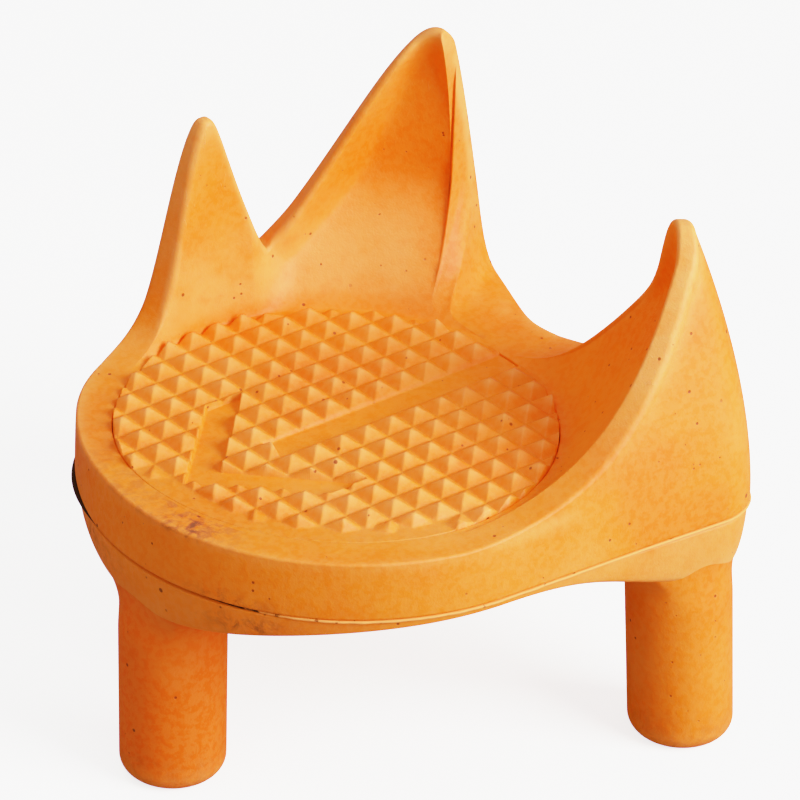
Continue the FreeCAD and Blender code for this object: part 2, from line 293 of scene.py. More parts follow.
def pyramid(tee):
    """Height of a pyramid: its tips stand this far over the platform."""
    return TIP_Z - tee.body.platform


def zone(value, rise, full, fall, end):
    """1 between two smooth steps, up and then down."""
    return smooth(value, rise, full) * (1.0 - smooth(value, fall, end))


def left_share(angle):
    """1 where the left horn stands and 0 away from it, in smooth steps."""
    return zone(angle, *LEFT_ZONE)


def hull_radius(body, angle, front, side_x, side_y, corner):
    """Reach of the hull of a round front and two round rear corners: a front arc, a side line that touches
    both rounds, the corner's arc, and a rear line that dips to a waist."""
    turn = np.abs(np.radians(angle))
    reach = np.hypot(side_x, side_y)
    normal = np.arctan2(side_y, side_x) + np.arccos(np.clip((front - corner) / reach, -1.0, 1.0))
    along = side_x * np.cos(turn) + side_y * np.sin(turn)
    across = side_x * np.sin(turn) - side_y * np.cos(turn)
    side_line = front / np.maximum(np.cos(turn - normal), 0.05)
    rear_line = (side_x + corner) / np.maximum(np.cos(turn), 0.05)
    rear_line = mix(np.minimum(body.rear_waist, rear_line), rear_line, smooth(np.abs(angle), *WAIST_ZONE))
    rear_line = rear_line - body.waist_dip * bell(angle, 6.0, 9.0)
    radius = np.minimum(side_line, rear_line)
    arc = along + np.sqrt(np.maximum(corner ** 2 - across ** 2, 0.0))
    facing = np.arctan2(arc * np.sin(turn) - side_y, arc * np.cos(turn) - side_x)
    on_corner = (np.abs(across) < corner) & (facing >= 0.0) & (facing <= normal)
    return np.where(turn >= normal, front, np.where(on_corner, arc, radius))


def wall_radius(tee, angle, rise):
    """Outer wall: the hull, with its side and rear drawn in by a lean that grows as rise to a power, and two
    swellings."""
    body = tee.body
    rise = np.maximum(rise, 0.0)
    grow = (rise / LEAN_HEIGHT) ** LEAN_POWER
    side = mix(body.side_lean, body.left_lean, left_share(angle)) * grow
    rear = body.rear_lean * grow
    top = np.minimum(1.0, rise / (tallest(tee) + body.platform - SEAM_Z))
    corner = mix(body.corner_radius, body.corner_top, top)
    swell = body.left_swell * bell(turned(angle, 130.0), 0.0, 16.0)
    swell = swell + body.right_swell * bell(turned(angle, -42.0), 0.0, 12.0) * np.exp(-rise / (20.0 * MM))
    return swell + hull_radius(body, angle, body.platform_radius - side,
                               body.corner_x + body.corner_radius - rear - corner,
                               body.corner_y + body.corner_radius - side - corner, corner)


def horn_height(horn, angle):
    """A horn: its height times a mix of a peak, exp(-(d/w)^p) on each side, and a wide bell for its skirt,
    where d is the turn from the tip, rounded at the tip."""
    away = turned(angle, horn.angle)
    width = np.where(away > 0.0, horn.high, horn.low)
    power = np.where(away > 0.0, horn.high_power, horn.low_power)
    rounded = np.hypot(away, TIP_WIDTH) - TIP_WIDTH
    return horn.height * mix(np.exp(-(rounded / width) ** power), bell(rounded, 0.0, SKIRT_WIDTH), horn.skirt)


def crest_height(tee, angle):
    """Crest: the highest horn in a direction, less a small step so that the rim stays flat."""
    heights = [horn_height(horn, angle) for horn in (tee.right, tee.tall, tee.left)]
    return np.maximum(0.0, np.max(heights, axis=0) - CREST_STEP)


def crest_width(tee, angle):
    """Thickness of the crest: the three horns' own, weighed by how high each stands in a direction."""
    horns = (tee.right, tee.tall, tee.left)
    heights = np.array([horn_height(horn, angle) for horn in horns]) + 1e-6
    weights = heights ** 3
    widths = np.array([horn.width for horn in horns])[:, None]
    return (weights * widths).sum(axis=0) / weights.sum(axis=0)


def scoop_radius(tee, angle, height):
    """Hollow side of the horns at a height. For the big horns it leaves the platform level, climbs as a slope,
    a height + root of (b height), and ends upright at a fixed reach; beside the tall horn's steep side it bends
    outward to meet it. For the left horn it is a near upright quarter ellipse."""
    body = tee.body
    start = tread_edge(tee, angle) + body.scoop_start
    slope = start + body.scoop_slope * height + np.sqrt(body.scoop_sweep * height)
    wide = soft_min(slope, body.scoop_reach - TALL_DRAW * smooth(angle, 5.0, 30.0), 1.6 * MM)
    flank = np.linspace(0.0, tee.tall.angle, 200)
    edge = np.interp(height, horn_height(tee.tall, flank), flank)
    bend = bell(angle, edge, tee.tall.bend_width) * (1.0 - smooth(height, 8.0 * MM, 26.0 * MM))
    wide = wide + tee.tall.bend * bend * smooth(height, 0.0, 6.0 * MM)
    narrow = np.minimum(1.0, height / body.left_scoop_height)
    return mix(wide, body.left_scoop_start + body.left_scoop_width * np.sqrt(1.0 - (1.0 - narrow) ** 2),
               left_share(angle))


def skin_depth(tee, angle, height):
    """Least thickness of the horns' plate at a height: that of the crest, and thicker towards the foot."""
    thin = np.maximum(left_share(angle), bell(angle, -20.0, 13.0))
    return crest_width(tee, angle) + mix(0.06, 0.03, thin) * (tee.tall.height - height)


def tread_edge(tee, angle):
    """Outline of the tread from the platform's middle: the nearer of a shifted circle and a centred one."""
    tread = tee.tread
    turn = np.radians(angle)
    shifted = tread.shift * np.cos(turn) + np.sqrt(tread.radius ** 2 - (tread.shift * np.sin(turn)) ** 2)
    front = tread.front_radius + tread.left_swell * bell(turned(angle, 152.0), 0.0, 36.0)
    return soft_min(shifted, front, 0.4 * MM)


def front_share(angle):
    """1 at the front right, where the tread runs out into the platform, and 0 elsewhere."""
    return 1.0 - smooth(np.abs(turned(angle, FLUSH_MIDDLE)), FLUSH_END, FLUSH_START)


def spread_angles(tee, count):
    """Directions round the tee, packed closer at the tips: equal steps of the running sum of a density,
    1 plus a bell at each tip."""
    fine = np.linspace(-180.0, 180.0, 7201)
    density = 1.0 + sum(7.0 * bell(turned(fine, horn.angle), 0.0, 3.0) for horn in (tee.right, tee.tall, tee.left))
    total = np.concatenate([[0.0], np.cumsum(0.5 * (density[1:] + density[:-1]))])
    return np.interp(np.arange(count) * total[-1] / count, total, fine)


# ---- meshes

def place(tee, x, y, z):
    """Rows of points in the frame: the shapes are drawn about the platform's axis and moved back by its
    distance from the origin."""
    return np.stack([np.ravel(x) - tee.body.middle_x, np.ravel(y), np.ravel(z)], axis=1)


def ring_faces(rows, columns):
    """Quads of a grid that closes round its columns: corners (r, c), (r, c+1), (r+1, c+1), (r+1, c)."""
    r, c = np.meshgrid(np.arange(rows - 1), np.arange(columns), indexing="ij")
    nxt = (c + 1) % columns
    corners = [r * columns + c, r * columns + nxt, (r + 1) * columns + nxt, (r + 1) * columns + c]
    return np.stack([k.ravel() for k in corners], axis=1)


def fan_faces(ring, pole):
    """Triangles from a pole to each step of a closed ring."""
    return np.stack([ring, np.roll(ring, -1), np.full(len(ring), pole)], axis=1)


def closed_rows(points, columns, poles):
    """Close rows of points with a pole at each end: quads between the rows and a fan of triangles to a pole."""
    rows, first = len(points) // columns, len(points)
    ring = np.arange(columns)
    return (np.concatenate([points, poles]),
            [ring_faces(rows, columns), fan_faces(ring[::-1], first),
             fan_faces((rows - 1) * columns + ring, first + 1)])


def revolved(tee, radius, height, angle):
    """Closed surface from a profile for each direction: points (r cos a, r sin a, z), rows from the first
    pole to the last."""
    turn = np.radians(angle)[None, :]
    points = place(tee, radius * np.cos(turn), radius * np.sin(turn), height)
    poles = place(tee, np.zeros(2), np.zeros(2), np.array([height[0].mean(), height[-1].mean()]))
    return closed_rows(points, len(angle), poles)


def new_piece(name, points, faces, material, node):
    """Make a mesh object from point and face arrays, turn its faces outward, shade it smooth and hand it to
    the frame."""
    mesh = bpy.data.meshes.new(name)
    mesh.from_pydata(points.tolist(), [], [face for part in faces for face in part.tolist()])
    mesh.validate()
    grid = bmesh.new()
    grid.from_mesh(mesh)
    bmesh.ops.recalc_face_normals(grid, faces=grid.faces)
    grid.to_mesh(mesh)
    grid.free()
    mesh.polygons.foreach_set("use_smooth", np.ones(len(mesh.polygons), dtype=bool))
    mesh.materials.append(material)
    piece = bpy.data.objects.new(name, mesh)
    bpy.context.scene.collection.objects.link(piece)
    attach(piece, "root")
    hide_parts(node)
    return piece


def paint(piece, name, values):
    """Store one number from 0 to 1 per point, as an attribute that materials can read."""
    layer = piece.data.attributes.new(name, "FLOAT", "POINT")
    layer.data.foreach_set("value", np.clip(values, 0.0, 1.0).astype(np.float32))


def crown_profile(tee, angle):
    """Profile of the crown in each direction: recess wall, platform, hollow of the horns, a crest with two
    rounded edges, the leaning outer wall and the seam's edge. An edge's rounding drops further where the crest
    falls steeply. Returns radii, heights, the crest and the number of rows up to its inner edge."""
    body = tee.body
    top_z = body.platform
    slab = top_z - SEAM_Z
    crest = crest_height(tee, angle)
    edge = tread_edge(tee, angle)
    step = np.gradient(crest) / (np.gradient(np.unwrap(np.radians(angle))) * CREST_REACH)
    steep = np.sqrt(1.0 + np.minimum(np.abs(step), STEEP_LIMIT) ** 2)
    width = crest_width(tee, angle)
    raised = smooth(crest, 0.0, 8.0 * MM)
    round_out = mix(body.rim_round, OUTER_ROUND * width, raised)
    eased = zone(angle, *EASED_ZONE)
    round_in = mix(INNER_ROUND * width, EASED_ROUND, eased) * raised
    drop_out = np.minimum(round_out * steep, round_out + DROP_LIMIT * crest)
    drop_in = np.minimum(round_in * steep, DROP_LIMIT * crest)
    drop_in = np.maximum(drop_in, crest - crest_height(tee, angle - EASED_TURN * eased))
    low = crest - drop_out
    wall = wall_radius(tee, angle, slab + low)

    def hollow(height, share):
        """Radius of the hollow at a height: the bowl, kept a growing thickness inside the leaning wall."""
        bowl = scoop_radius(tee, angle, height)
        limit = wall_radius(tee, angle, slab + height) - skin_depth(tee, angle, height)
        return soft_max(soft_min(bowl, limit, MM), edge + (0.2 + share) * MM, (0.1 + 0.4 * share) * MM)

    inner = hollow(crest - drop_in, 1.0)
    round_out = np.minimum(round_out, 0.6 * (wall - inner))
    upper = mix(inner, hollow(crest, 1.0), eased)
    round_in = np.minimum(round_in, 0.9 * (wall - round_out - upper))
    radii, heights = [], []

    def row(radius, height):
        radii.append(radius + 0.0 * angle)
        heights.append(height + 0.0 * angle)

    row(edge, RECESS_Z - top_z)
    for share in (0.35, 0.7):
        row(edge, mix(RECESS_Z - top_z, -RECESS_EDGE, share))
    rounded = RECESS_EDGE - 0.15 * MM * front_share(angle)
    for sweep in np.radians([0.0, 35.0, 65.0, 90.0]):
        row(edge + rounded * (1.0 - math.cos(sweep)), -rounded * (1.0 - math.sin(sweep)))
    start = hollow(0.0 * crest, 0.0)
    for share in (0.0, 0.3, 0.6):
        row(mix(edge + 0.2 * MM, start, share), 0.0)
    for share in np.linspace(0.0, 1.0, HOLLOW_ROWS):
        height = (crest - drop_in) * share ** HOLLOW_SPACING
        row(hollow(height, share), height)
    for sweep in np.radians(np.linspace(7.5, 90.0, 12)):
        height = crest - drop_in * (1.0 - math.sin(sweep))
        foot_of_edge = mix(inner, hollow(height, 1.0), eased)
        row(foot_of_edge + round_in * mix(1.0 - math.cos(sweep), sweep / math.radians(90.0), eased), height)
    inner_rows = len(radii)
    for share in (0.25, 0.5, 0.75):
        row(mix(upper + round_in, wall - round_out, share), crest)
    for sweep in np.radians(np.linspace(0.0, 80.0, 9)):
        row(wall - round_out * (1.0 - math.sin(sweep)), crest - drop_out * (1.0 - math.cos(sweep)))
    for share in np.linspace(0.0, 1.0, WALL_ROWS):
        height = mix(low, SEAM_EDGE - slab, share)
        row(wall_radius(tee, angle, slab + height), height)
    foot = wall_radius(tee, angle, 0.0)
    for sweep in np.radians([30.0, 60.0, 90.0]):
        row(foot - SEAM_EDGE * (1.0 - math.cos(sweep)), SEAM_EDGE * (1.0 - math.sin(sweep)) - slab)
    row(foot - 3.0 * MM, -slab)
    return np.array(radii), np.array(heights) + top_z, crest, inner_rows


def tread_height(tee, x, y):
    """Height of the tread over the platform: square pyramids, tip height (1 - 2 m / pitch) with m the larger
    of the two distances from the tip, tips and grooves a little rounded, the arrow let in flat, and the
    pyramids drowned in the rim at the front."""
    tread = tee.tread
    pitch = tread.pitch
    column = np.round((x - tread.tip_x) / pitch)
    row = np.round(y / pitch)
    across = np.abs(x - tread.tip_x - column * pitch)
    along = np.abs(y - row * pitch)
    reach = soft_max(across, along, 0.06 * MM)
    draw = np.random.default_rng(WEAR_SEED)
    wear = draw.uniform(0.0, 1.0, (64, 64))[(column.astype(int) + 32) % 64, (row.astype(int) + 32) % 64]
    blunt = (0.10 + 0.30 * wear ** 3) * MM
    away = np.sqrt(reach ** 2 + blunt ** 2) - 0.6 * blunt
    peak = pyramid(tee) * (1.0 - 2.0 * away / pitch)
    height = soft_max(peak, 0.03 * MM, 0.08 * MM)
    out_x = x - tread.point_x - np.abs(y)
    diagonal = math.sqrt(0.5)
    head = np.minimum(np.minimum(out_x, tread.arm_width - out_x) * diagonal, tread.arm - np.abs(y))
    shaft = np.minimum(0.5 * pitch - np.abs(y), x - tread.shaft_x)
    inside = np.maximum(head, shaft)
    height = mix(height, -tread.sink, smooth(inside, -0.07 * MM, 0.09 * MM))
    radius = np.hypot(x, y)
    angle = direction(x, y)
    rim = tread_edge(tee, angle)
    drown = front_share(angle) * smooth(radius, rim - 5.0 * MM, rim - 0.4 * MM)
    drowned = soft_max(height - 1.3 * pyramid(tee) * drown, 0.0, 0.08 * MM)
    return mix(height, drowned, smooth(drown, 0.0, 0.15)), inside


def tread_mesh(tee):
    """The tread as a square grid in step with the pyramids, its border drawn onto the outline, with an upright
    skirt and a flat bottom."""
    tread = tee.tread
    step = tread.pitch / tread.cells
    span = int(tread.radius / step) + 3
    first = round((tread.shift - tread.tip_x) / step)
    x, y = np.meshgrid(tread.tip_x + (np.arange(-span, span + 1) + first) * step,
                       np.arange(-span, span + 1) * step, indexing="ij")
    radius = np.hypot(x, y)
    angle = direction(x, y)
    limit = tread_edge(tee, angle) - tread.gap * (1.0 - front_share(angle))
    mid_x, mid_y = [0.25 * (k[:-1, :-1] + k[1:, :-1] + k[:-1, 1:] + k[1:, 1:]) for k in (x, y)]
    keep = np.hypot(mid_x, mid_y) < tread_edge(tee, direction(mid_x, mid_y)) - tread.gap
    index = np.arange(x.size).reshape(x.shape)
    corners = (index[:-1, :-1], index[1:, :-1], index[1:, 1:], index[:-1, 1:])
    quads = np.stack([corner[keep] for corner in corners], axis=1)
    edges = np.concatenate([quads[:, [k, (k + 1) % 4]] for k in range(4)])
    low, high = edges.min(axis=1), edges.max(axis=1)
    _, place_in, count = np.unique(low * x.size + high, return_index=True, return_counts=True)
    border = edges[place_in[count == 1]]
    on_border = np.zeros(x.size, dtype=bool)
    on_border[border.ravel()] = True
    pull = np.where(on_border | (radius.ravel() > limit.ravel()), limit.ravel() / radius.ravel(), 1.0)
    x, y = x.ravel() * pull, y.ravel() * pull
    height, inside = tread_height(tee, x, y)
    used = np.unique(quads)
    renumber = np.full(len(x), -1)
    renumber[used] = np.arange(len(used))
    top = place(tee, x[used], y[used], tee.body.platform + height[used])
    border = renumber[border]
    ring = np.unique(border)
    below = np.full(len(used), -1)
    below[ring] = len(used) + np.arange(len(ring))
    foot = top[ring].copy()
    foot[:, 2] = RECESS_Z
    pole = len(used) + len(ring)
    points = np.concatenate([top, foot, place(tee, [tread.shift], [0.0], [RECESS_Z])])
    skirt = np.stack([border[:, 1], border[:, 0], below[border[:, 0]], below[border[:, 1]]], axis=1)
    bottom = np.stack([below[border[:, 1]], below[border[:, 0]], np.full(len(border), pole)], axis=1)
    flat = np.zeros(len(points))
    flat[:len(used)] = smooth(inside[used], -0.1 * MM, 0.3 * MM)
    return points, [renumber[quads], skirt, bottom], flat


def seam_share(angle):
    """1 where the seam has opened and shows old adhesive, 0 where the two mouldings still meet."""
    return zone(angle % 360.0, *OPEN_ZONE)


def bond_mesh(tee):
    """The bonding layer: the outline at the seam, drawn in or out by an edge that swells where the seam has
    opened and stands out as a thin ragged flash elsewhere, with a rounded rim."""
    angle = np.linspace(-180.0, 180.0, SEAM_COLUMNS, endpoint=False)
    foot = wall_radius(tee, angle, 0.0)
    open_share = seam_share(angle)
    turn = np.radians(angle)
    ragged = 0.5 + 0.5 * ripple(40.0 * np.cos(turn), 40.0 * np.sin(turn), 0.0 * turn, 3.1, FLASH_SEED)
    flash = (-0.10 - 0.16 * ragged) * MM
    opened = 0.9 * MM - 1.55 * MM * bell(turned(angle, 148.0), 0.0, 17.0)
    edge = foot - mix(flash, opened, open_share)
    mid_z, half = 0.5 * (SEAM_Z + BOND_Z), 0.5 * (SEAM_Z - BOND_Z)
    tall = half * mix(0.75, 1.0, open_share)
    sweep = np.radians(np.linspace(-90.0, 90.0, 9))[:, None]
    inside = (foot - SEAM_REACH)[None, :]
    radii = np.concatenate([inside, edge - tall + tall * np.cos(sweep), inside])
    heights = np.concatenate([np.full((1, len(angle)), BOND_Z), mid_z + tall * np.sin(sweep),
                              np.full((1, len(angle)), SEAM_Z)])
    points, faces = revolved(tee, radii, heights, angle)
    marks = np.concatenate([np.tile(open_share, len(radii)), [0.0, 0.0]])
    return points, faces, marks


def spline_rows(poles, count):
    """Rows on a clamped cubic spline through a column of poles: weights from the Cox-de Boor recurrence."""
    spans = len(poles) - 3
    knots = np.concatenate([np.zeros(3), np.arange(spans + 1), np.full(3, spans)])
    at = np.linspace(0.0, spans - 1e-9, count)[:, None]
    weights = ((knots[:-1] <= at) & (at < knots[1:])).astype(float)
    for degree in (1, 2, 3):
        width_low = knots[degree:-1] - knots[:-degree - 1]
        width_high = knots[degree + 1:] - knots[1:-degree]
        low = np.where(width_low > 0.0, (at - knots[:-degree - 1]) / np.maximum(width_low, 1e-12), 0.0)
        high = np.where(width_high > 0.0, (knots[degree + 1:] - at) / np.maximum(width_high, 1e-12), 0.0)
        weights = low * weights[:, :-1] + high * weights[:, 1:]
    return weights @ np.array(poles)


def apron(tee, angle):
    """The apron in each direction: its wall at the seam, its depth, and how far its lower edge lies inside. The
    depth is a wide bell at the front leg and a narrow one at each rear leg, over a small depth between them."""
    body, legs = tee.body, tee.legs
    front = bell(180.0 - np.abs(angle), 0.0, 40.0)
    rear = bell(np.abs(angle), math.degrees(math.atan2(legs.rear_y, legs.rear_x)), 23.0)
    depth = body.apron_mid + (body.apron_front - body.apron_mid) * front + (body.apron_rear - body.apron_mid) * rear
    return wall_radius(tee, angle, 0.0) - body.base_inset, depth, body.apron_taper * depth / body.apron_rear


def apron_wall(tee, angle, drop):
    """Radius of the apron at a drop below the bonding layer."""
    wall, depth, taper = apron(tee, angle)
    return wall - taper * np.clip(drop / depth, 0.0, 1.4) ** 1.6


def base_mesh(tee):
    """The base without its legs: the apron's wall, its rounded lower edge and the arched underside, on a
    spline through ten poles in each direction."""
    body = tee.body
    angle = np.linspace(-180.0, 180.0, body.base_columns, endpoint=False)
    wall, depth, taper = apron(tee, angle)
    under = np.full_like(angle, -body.underside_depth)
    flat = np.full_like(angle, 14.0 * MM)
    radii = [wall, wall - 0.1 * taper, wall - 0.5 * taper, wall - taper, wall - taper - 0.9 * MM,
             wall - taper - 2.2 * MM, wall - taper - 5.0 * MM, mix(wall, flat, 0.5), mix(wall, flat, 0.8), flat]
    heights = [0.0 * depth, -0.35 * depth, -0.75 * depth, -0.95 * depth, -depth, -depth,
               mix(-depth, under, 0.6), under, under, under]
    rows = np.concatenate([(wall - SEAM_REACH)[None, :], spline_rows(radii, BASE_ROWS)])
    levels = np.concatenate([np.full((1, len(angle)), BOND_Z), spline_rows(heights, BASE_ROWS) + BOND_Z])
    return revolved(tee, rows, levels, angle)


def leg_mesh(tee, foot_x, foot_y, splay):
    """One leg: a cylinder with a rounded foot whose neck spreads into the base, upright or leaning outward.
    Towards the outside its neck follows the apron's wall, found by halving the distance to it."""
    legs = tee.legs
    turn = np.linspace(0.0, 2.0 * math.pi, LEG_COLUMNS, endpoint=False)[None, :]
    out = math.atan2(foot_y, foot_x)
    slope = math.tan(math.radians(splay))
    foot = legs.radius - legs.draft
    sweep = np.radians(np.linspace(0.0, 90.0, 12))
    low_r = np.concatenate([[0.25 * foot, 0.6 * foot], foot - legs.foot_round + legs.foot_round * np.sin(sweep)])
    low_z = np.concatenate([[0.0, 0.0], legs.foot_round * (1.0 - np.cos(sweep))])
    high_z = np.linspace(legs.foot_round, BOND_Z - 0.4 * MM, NECK_ROWS + 1)[1:]
    z = np.concatenate([low_z, high_z])[:, None]
    radius = np.concatenate([low_r, mix(foot, legs.radius, (high_z - legs.foot_round) / high_z[-1])])[:, None]
    axis_x = foot_x - slope * z * math.cos(out)
    axis_y = foot_y - slope * z * math.sin(out)
    near, far = np.zeros((len(z), LEG_COLUMNS)), np.full((len(z), LEG_COLUMNS), 60.0 * MM)
    for _ in range(HALVINGS):
        test = 0.5 * (near + far)
        x, y = axis_x + test * np.cos(turn), axis_y + test * np.sin(turn)
        angle = direction(x, y)
        within = np.hypot(x, y) < apron_wall(tee, angle, np.maximum(BOND_Z - z, 0.0))
        near, far = np.where(within, test, near), np.where(within, far, test)
    wall = near - 0.05 * MM
    spread = legs.flare * smooth(z, legs.flare_low, BOND_Z - 5.5 * MM) ** 1.5
    wanted = soft_min(radius + spread + 0.0 * turn, wall, 0.5 * MM)
    grow = smooth(z, legs.flare_low, BOND_Z - 4.0 * MM)
    radius = mix(radius + 0.0 * turn, wanted, grow)
    points = place(tee, axis_x + radius * np.cos(turn), axis_y + radius * np.sin(turn), z + 0.0 * radius)
    poles = place(tee, np.array([foot_x, float(axis_x[-1, 0])]), np.array([foot_y, float(axis_y[-1, 0])]),
                  np.array([0.0, float(z[-1, 0])]))
    return closed_rows(points, LEG_COLUMNS, poles)


# ---- materials

class Graph:
    """A node tree being built."""

    def __init__(self, tree):
        self.tree = tree

    def add(self, kind, inputs=None, **options):
        """Make a node, set its options, and fill or link its inputs."""
        node = self.tree.nodes.new(kind)
        for name, value in options.items():
            setattr(node, name, value)
        for key, value in (inputs or {}).items():
            if isinstance(value, bpy.types.NodeSocket):
                self.tree.links.new(value, node.inputs[key])
            else:
                node.inputs[key].default_value = value
        return node

    def noise(self, vector, scale, detail=2.0, roughness=0.5, distortion=0.0):
        """Noise of about one wave per 1/scale metres."""
        return self.add("ShaderNodeTexNoise", {"Vector": vector, "Scale": scale, "Detail": detail,
                                               "Roughness": roughness, "Distortion": distortion}).outputs["Fac"]

    def step(self, value, low, high):
        """Smooth step of a value from low to high; it falls where low is the larger."""
        node = self.add("ShaderNodeMapRange", {"Value": value, "From Min": min(low, high), "From Max": max(low, high),
                                               "To Min": float(low > high), "To Max": float(low < high)},
                        interpolation_type="SMOOTHSTEP")
        return node.outputs["Result"]

    def math(self, operation, first, second):
        """One arithmetic step."""
        return self.add("ShaderNodeMath", {0: first, 1: second}, operation=operation).outputs[0]

    def times(self, first, second):
        """Product of two masks."""
        return self.math("MULTIPLY", first, second)

    def total(self, start, *parts):
        """A number plus each mask times its weight."""
        for value, weight in parts:
            start = self.math("ADD", start, self.times(value, weight))
        return start

    def blend(self, share, first, second):
        """Mix of two colours."""
        return self.add("ShaderNodeMix", {0: share, 6: first, 7: second}, data_type="RGBA").outputs[2]

    def specks(self, vector, scale, share, size):
        """Round dots in a share of the cells of a Voronoi pattern, each smaller than size of a cell."""
        cells = self.add("ShaderNodeTexVoronoi", {"Vector": vector, "Scale": scale, "Randomness": 1.0})
        pick = self.add("ShaderNodeSeparateColor", {"Color": cells.outputs["Color"]})
        chosen = self.step(pick.outputs[0], 1.0 - share, 1.0 - share + 0.02)
        dot = self.math("SUBTRACT", self.times(pick.outputs[1], size), cells.outputs["Distance"])
        return self.times(self.step(dot, 0.0, 0.35 * size), chosen)


def node_group(name, inputs, outputs):
    """Make an empty node group with sockets, and return its graph, its inputs and the node that takes its
    results."""
    tree = bpy.data.node_groups.new(name, "ShaderNodeTree")
    for label, kind in inputs.items():
        tree.interface.new_socket(label, in_out="INPUT", socket_type=kind)
    for label, kind in outputs.items():
        tree.interface.new_socket(label, in_out="OUTPUT", socket_type=kind)
    graph = Graph(tree)
    return graph, graph.add("NodeGroupInput").outputs, graph.add("NodeGroupOutput").inputs


COLOUR, VALUE, VECTOR = "NodeSocketColor", "NodeSocketFloat", "NodeSocketVector"


def rubber_skin():
    """The look shared by the mouldings: a mottled skin with paler and darker patches, paler where a mask paints
    wear, painted light and painted highlight, darker where a mask paints shade, dark specks and pits, ground-in
    dirt where a mask asks for it, and raised fibres where the skin is scuffed."""
    graph, inputs, results = node_group(
        "rubber_skin",
        {"Vector": VECTOR, "Fresh": COLOUR, "Faded": COLOUR, "Deep": COLOUR, "Speck": COLOUR, "Grime": COLOUR,
         "Scuff": COLOUR, "Dirt": VALUE, "Wear": VALUE, "Rub": VALUE, "Oil": VALUE},
        {"Color": COLOUR, "Roughness": VALUE, "Height": VALUE})
    where = inputs["Vector"]
    broad = graph.noise(where, 38.0, 3.0, 0.55)
    medium = graph.noise(where, 140.0, 4.0, 0.6)
    fine = graph.noise(where, 900.0, 3.0, 0.6)
    grain = graph.noise(where, 3200.0, 2.0, 0.6)
    stretch = graph.add("ShaderNodeMapping",
                        {"Vector": where, "Rotation": (0.5, 0.35, 0.6), "Scale": (1.0, 1.0, 0.18)})
    fibres = graph.step(graph.noise(stretch.outputs[0], 1500.0, 3.0, 0.7, 1.2), 0.58, 0.70)
    rubbed = graph.times(graph.times(fibres, inputs["Rub"]), graph.step(medium, 0.42, 0.58))
    coarse = graph.times(graph.specks(where, 240.0, 0.30, 0.16), inputs["Dirt"])
    dots = graph.total(coarse, (graph.specks(where, 820.0, 0.13, 0.28), 0.75),
                       (graph.specks(where, 300.0, 0.16, 0.14), 0.8))
    dots = graph.math("MINIMUM", dots, 1.0)
    smear = graph.times(inputs["Dirt"], graph.step(graph.noise(where, 420.0, 5.0, 0.7, 0.6), 0.40, 0.66))
    tone = inputs["Fresh"]
    for share, label in ((graph.times(graph.step(broad, 0.56, 0.36), 0.5), "Deep"),
                         # Painted shade: darker colour where this mask paints shade, on the legs.
                         (inputs["Oil"], "Deep"),
                         (graph.times(graph.step(broad, 0.50, 0.72), 0.30), "Faded"),
                         # The wear mask: real wear, and painted light and painted highlight on the crown and the
                         # base.
                         (graph.times(inputs["Wear"], graph.step(medium, 0.10, 0.60)), "Faded"),
                         (graph.times(graph.step(medium, 0.58, 0.72), 0.28), "Deep"),
                         (graph.times(graph.step(fine, 0.62, 0.42), 0.20), "Faded"),
                         (graph.times(rubbed, 0.55), "Scuff"),
                         (dots, "Speck"),
                         (graph.times(smear, 0.85), "Grime")):
        tone = graph.blend(share, tone, inputs[label])
    rough = graph.total(0.50, (medium, 0.14), (smear, 0.25), (rubbed, 0.25))
    height = graph.total(0.0, (fine, 0.55), (grain, 0.30), (medium, 0.8), (rubbed, 0.5), (dots, -0.9))
    for label, value in (("Color", tone), ("Roughness", rough), ("Height", height)):
        graph.tree.links.new(value, results[label])
    return graph.tree


def rgba(value):
    """A colour with full alpha."""
    return (*value, 1.0)


def mask(graph, name):
    """A number stored on the points of a piece."""
    return graph.add("ShaderNodeAttribute", attribute_name=name).outputs["Fac"]


def new_material(name, base):
    """Make a material from a function that adds its pattern to a graph and returns the Principled shader's
    inputs."""
    material = bpy.data.materials.new(name)
    material.use_nodes = True
    material.node_tree.nodes.clear()
    graph = Graph(material.node_tree)
    shader = graph.add("ShaderNodeBsdfPrincipled", base(graph))
    graph.add("ShaderNodeOutputMaterial", {"Surface": shader.outputs[0]})
    return material


def rubber_material(tee, name):
    """Make the orange rubber: the shared skin over a satin, slightly translucent body."""
    def base(graph):
        skin = graph.add("ShaderNodeGroup", node_tree=bpy.data.node_groups.get("rubber_skin") or rubber_skin())
        for label in ("Fresh", "Faded", "Deep", "Speck", "Grime", "Scuff"):
            skin.inputs[label].default_value = rgba(getattr(tee.colours, label.lower()))
        graph.tree.links.new(graph.add("ShaderNodeTexCoord").outputs["Object"], skin.inputs["Vector"])
        for label in ("Dirt", "Wear", "Rub", "Oil"):
            graph.tree.links.new(mask(graph, label.lower()), skin.inputs[label])
        bump = graph.add("ShaderNodeBump", {"Height": skin.outputs["Height"], "Strength": 0.8, "Distance": 0.00016})
        return {"Base Color": skin.outputs["Color"], "Roughness": skin.outputs["Roughness"],
                "Normal": bump.outputs[0], "IOR": 1.5, "Specular IOR Level": 0.42, "Subsurface Weight": 0.12,
                "Subsurface Radius": (1.0, 0.32, 0.08), "Subsurface Scale": 0.0016}

    return new_material(name, base)


